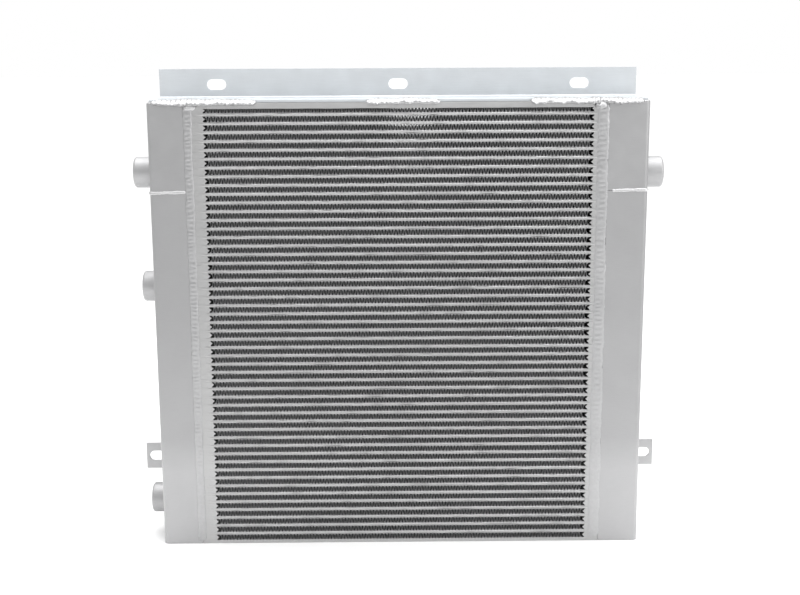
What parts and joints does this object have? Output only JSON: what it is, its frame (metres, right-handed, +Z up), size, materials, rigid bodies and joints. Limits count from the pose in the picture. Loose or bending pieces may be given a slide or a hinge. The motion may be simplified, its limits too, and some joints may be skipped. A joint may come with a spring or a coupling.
{
  "type": "hydraulic oil cooler",
  "caption": "Flat upright bar-and-plate aluminium cooler with an oil section below an air section, side tanks with threaded ports, a slotted top angle and side tabs.",
  "frame": {"origin": "middle of the base, half way through the depth of the core", "axes": "+X to the right along the tubes, +Y to the rear where the cooler bolts on, +Z up"},
  "size_m": [0.775, 0.1, 0.686],
  "materials": {
    "tank_sheet": "satin",
    "core_bar": "satin",
    "fin_sheet": "satin",
    "bracket_plate": "satin",
    "port_stock": "satin"
  },
  "bodies": {
    "root": {"left_air_tank": "tank_sheet", "left_oil_tank": "tank_sheet", "left_top_cap": "tank_sheet", "left_partition_plate": "tank_sheet", "left_bottom_cap": "tank_sheet", "right_air_tank": "tank_sheet", "right_oil_tank": "tank_sheet", "right_top_cap": "tank_sheet", "right_partition_plate": "tank_sheet", "right_bottom_cap": "tank_sheet", "left_pass_baffle": "tank_sheet", "left_air_port": "port_stock", "right_air_port": "port_stock", "upper_oil_port": "port_stock", "lower_oil_port": "port_stock", "top_mounting_angle": "bracket_plate", "left_mounting_tab": "bracket_plate", "right_mounting_tab": "bracket_plate", "top_side_plate": "core_bar", "bottom_side_plate": "core_bar", "air_tube_stack": "core_bar", "upper_oil_tube_stack": "core_bar", "lower_oil_tube_stack": "core_bar", "fin_row_01": "fin_sheet", "fin_row_02": "fin_sheet", "fin_row_04": "fin_sheet", "fin_row_05": "fin_sheet", "fin_row_07": "fin_sheet", "fin_row_08": "fin_sheet", "fin_row_10": "fin_sheet", "fin_row_11": "fin_sheet", "fin_row_13": "fin_sheet", "fin_row_14": "fin_sheet", "fin_row_16": "fin_sheet", "fin_row_17": "fin_sheet", "fin_row_19": "fin_sheet", "fin_row_20": "fin_sheet", "fin_row_22": "fin_sheet", "fin_row_23": "fin_sheet", "fin_row_25": "fin_sheet", "fin_row_26": "fin_sheet", "fin_row_28": "fin_sheet", "fin_row_29": "fin_sheet", "fin_row_31": "fin_sheet", "fin_row_32": "fin_sheet", "fin_row_34": "fin_sheet", "fin_row_35": "fin_sheet", "fin_row_37": "fin_sheet", "fin_row_38": "fin_sheet", "fin_row_40": "fin_sheet", "fin_row_41": "fin_sheet", "fin_row_43": "fin_sheet", "fin_row_44": "fin_sheet", "fin_row_46": "fin_sheet", "fin_row_47": "fin_sheet", "fin_row_49": "fin_sheet", "fin_row_50": "fin_sheet", "fin_row_52": "fin_sheet"}
  },
  "joints": []
}
